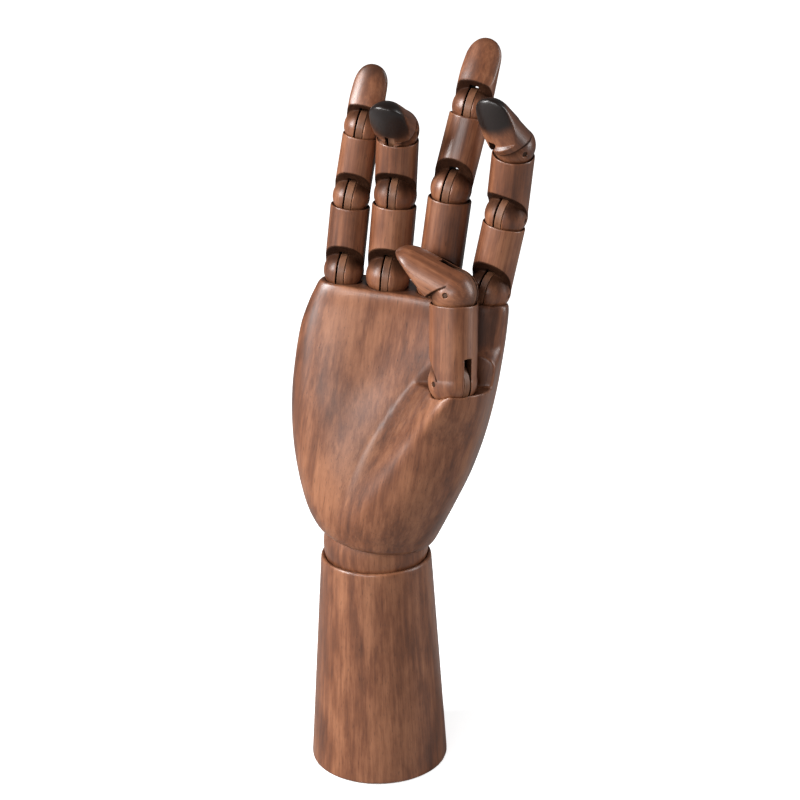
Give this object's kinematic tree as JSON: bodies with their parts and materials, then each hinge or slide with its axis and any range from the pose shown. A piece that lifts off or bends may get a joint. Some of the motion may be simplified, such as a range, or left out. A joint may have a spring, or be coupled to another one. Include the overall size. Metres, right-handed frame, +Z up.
{
  "type": "jointed artist hand",
  "caption": "Jointed wooden artist's right hand on a turned conical stand, with a ball wrist and hinged fingers and thumb that hold a pose.",
  "frame": {"origin": "centre of the foot, on the surface the stand rests on", "axes": "+Z up along the stand, -Y the way the palm looks, +X the thumb side"},
  "size_m": [0.098, 0.0611, 0.3014],
  "materials": {
    "stained_wood": "dark walnut stain under a satin coat, fine grain along each piece",
    "tip_wood": "the same stain, nearly black where the end grain of the fingertip drank it",
    "tongue_wood": "thin stained hardwood plate, satin",
    "steel": "plain bright steel wire and hardware"
  },
  "bodies": {
    "base": {"base": "stained_wood", "base_plug": "stained_wood"},
    "wrist_core": {"eye_bolt": "steel", "wrist_spring": "steel", "washer": "steel", "nut": "steel"},
    "wrist_ball": {"wrist_ball": "stained_wood"},
    "palm": {"palm": "stained_wood", "palm_eye": "steel", "little_tongue_a": "tongue_wood", "ring_tongue_a": "tongue_wood", "middle_tongue_a": "tongue_wood", "index_tongue_a": "tongue_wood", "thumb_tongue_a": "tongue_wood"},
    "little_base": {"little_base": "stained_wood", "little_pin_a": "steel", "little_tongue_b": "tongue_wood"},
    "little_mid": {"little_mid": "stained_wood", "little_pin_b": "steel", "little_tongue_c": "tongue_wood"},
    "little_tip": {"little_tip": "tip_wood", "little_pin_c": "steel"},
    "ring_base": {"ring_base": "stained_wood", "ring_pin_a": "steel", "ring_tongue_b": "tongue_wood"},
    "ring_mid": {"ring_mid": "stained_wood", "ring_pin_b": "steel", "ring_tongue_c": "tongue_wood"},
    "ring_tip": {"ring_tip": "tip_wood", "ring_pin_c": "steel"},
    "middle_base": {"middle_base": "stained_wood", "middle_pin_a": "steel", "middle_tongue_b": "tongue_wood"},
    "middle_mid": {"middle_mid": "stained_wood", "middle_pin_b": "steel", "middle_tongue_c": "tongue_wood"},
    "middle_tip": {"middle_tip": "tip_wood", "middle_pin_c": "steel"},
    "index_base": {"index_base": "stained_wood", "index_pin_a": "steel", "index_tongue_b": "tongue_wood"},
    "index_mid": {"index_mid": "stained_wood", "index_pin_b": "steel", "index_tongue_c": "tongue_wood"},
    "index_tip": {"index_tip": "tip_wood", "index_pin_c": "steel"},
    "thumb_base": {"thumb_base": "stained_wood", "thumb_pin_a": "steel", "thumb_tongue_b": "tongue_wood"},
    "thumb_tip": {"thumb_tip": "tip_wood", "thumb_pin_b": "steel"}
  },
  "joints": [
    {"name": "wrist_swivel", "type": "hinge", "parent": "base", "child": "wrist_core", "pos_m": [0, 0, 0.0975], "axis": [0, 0, 1], "continuous": true},
    {"name": "wrist_tilt", "type": "hinge", "parent": "wrist_core", "child": "wrist_ball", "pos_m": [0, 0, 0.0975], "axis": [0, 1, 0], "range_deg": [-22, 8]},
    {"name": "wrist_bend", "type": "hinge", "parent": "wrist_ball", "child": "palm", "pos_m": [0, 0, 0.0975], "axis": [0.989, 0, -0.1478], "range_deg": [-12, 12]},
    {"name": "little_knuckle", "type": "hinge", "parent": "palm", "child": "little_base", "pos_m": [-0.01182, 0.003, 0.21054], "axis": [0.9912, 0.0523, -0.1217], "range_deg": [-25, 1]},
    {"name": "little_mid_joint", "type": "hinge", "parent": "little_base", "child": "little_mid", "pos_m": [-0.00817, 0.003, 0.24031], "axis": [0.9825, 0.0522, -0.1786], "range_deg": [-20, 3]},
    {"name": "little_end_joint", "type": "hinge", "parent": "little_mid", "child": "little_tip", "pos_m": [-0.0032, 0.00308, 0.26766], "axis": [0.9786, 0.0522, -0.1992], "range_deg": [-20, 28]},
    {"name": "ring_knuckle", "type": "hinge", "parent": "palm", "child": "ring_base", "pos_m": [0.00611, 0.003, 0.20942], "axis": [0.9937, 0.0523, -0.0992], "range_deg": [-1, 15]},
    {"name": "ring_mid_joint", "type": "hinge", "parent": "ring_base", "child": "ring_mid", "pos_m": [0.00935, 0.003, 0.24186], "axis": [0.9945, 0.0523, -0.0905], "range_deg": [-4, 70]},
    {"name": "ring_end_joint", "type": "hinge", "parent": "ring_mid", "child": "ring_tip", "pos_m": [0.012, -0.00212, 0.26804], "axis": [0.9895, -0.0846, -0.1168], "range_deg": [-44, 8]},
    {"name": "middle_knuckle", "type": "hinge", "parent": "palm", "child": "middle_base", "pos_m": [0.02597, 0.003, 0.20768], "axis": [0.9879, -0.0698, -0.1388], "range_deg": [-25, 6]},
    {"name": "middle_mid_joint", "type": "hinge", "parent": "middle_base", "child": "middle_mid", "pos_m": [0.03123, 0.003, 0.24511], "axis": [0.9746, -0.0696, -0.2127], "range_deg": [-10, 20]},
    {"name": "middle_end_joint", "type": "hinge", "parent": "middle_mid", "child": "middle_tip", "pos_m": [0.03824, 0.00778, 0.27565], "axis": [0.9814, -0.0645, -0.1806], "range_deg": [-20, 68]},
    {"name": "index_knuckle", "type": "hinge", "parent": "palm", "child": "index_base", "pos_m": [0.04613, 0.003, 0.2059], "axis": [0.9527, -0.225, -0.2042], "range_deg": [-25, 14]},
    {"name": "index_mid_joint", "type": "hinge", "parent": "index_base", "child": "index_mid", "pos_m": [0.05257, 0.003, 0.23592], "axis": [0.9527, -0.225, -0.2042], "range_deg": [-40, 40]},
    {"name": "index_end_joint", "type": "hinge", "parent": "index_mid", "child": "index_tip", "pos_m": [0.0569, -0.00451, 0.26443], "axis": [0.6407, -0.7128, -0.2854], "range_deg": [-50, 12]},
    {"name": "thumb_base_joint", "type": "hinge", "parent": "palm", "child": "thumb_base", "pos_m": [0.03708, -0.022, 0.17649], "axis": [0.6298, 0.7723, -0.0833], "range_deg": [-4, 38]},
    {"name": "thumb_end_joint", "type": "hinge", "parent": "thumb_base", "child": "thumb_tip", "pos_m": [0.0369, -0.01817, 0.21067], "axis": [-0.1742, -0.9787, 0.1089], "range_deg": [-70, 7]}
  ]
}
